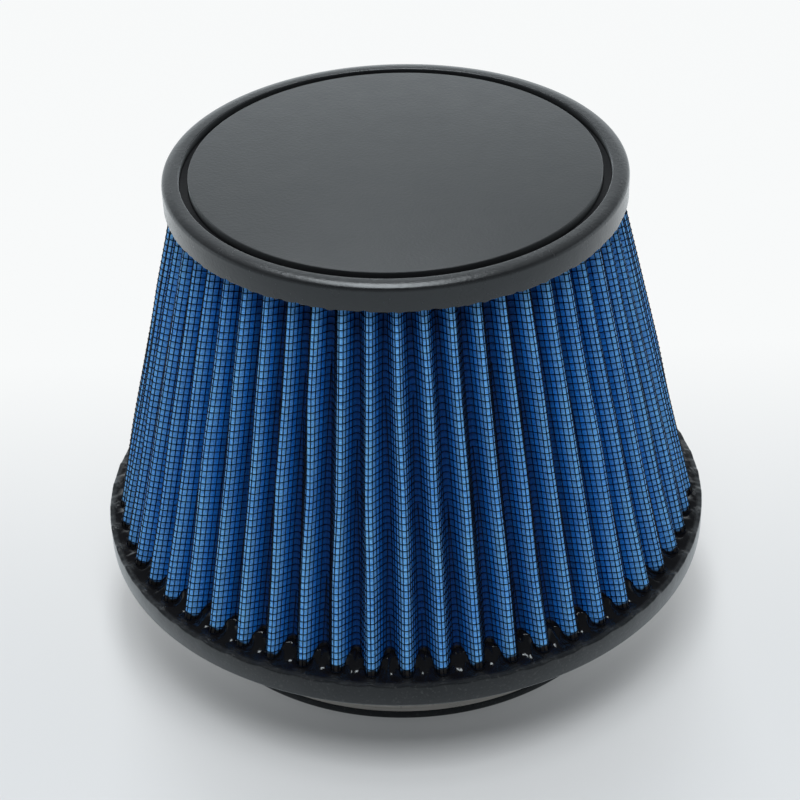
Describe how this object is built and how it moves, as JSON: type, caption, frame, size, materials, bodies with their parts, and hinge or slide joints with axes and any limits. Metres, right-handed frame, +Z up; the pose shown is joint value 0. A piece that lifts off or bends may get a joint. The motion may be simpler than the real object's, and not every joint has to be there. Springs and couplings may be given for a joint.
{
  "type": "performance air filter",
  "caption": "Conical pleated intake filter: blue gauze under black wire mesh, closed cap with a ring groove, wide base and a neck with a hose clamp.",
  "frame": {"origin": "centre of the neck's open mouth, on the plane that the filter stands on", "axes": "+Z up the filter's axis from the neck to the cap, -Y towards the viewer, the clamp's screw at +Y with its head towards +X"},
  "size_m": [0.1504, 0.1504, 0.1191],
  "materials": {
    "moulding": "satin cast polyurethane",
    "gauze": "dyed cotton gauze",
    "wire": "black coated woven wire",
    "steel": "rolled stainless steel"
  },
  "bodies": {
    "root": {"base_flange": "moulding", "top_cap": "moulding", "filter_media": "gauze", "outer_screen": "wire", "clamp_band": "steel", "clamp_saddle": "steel", "clamp_screw": "steel"}
  },
  "joints": []
}
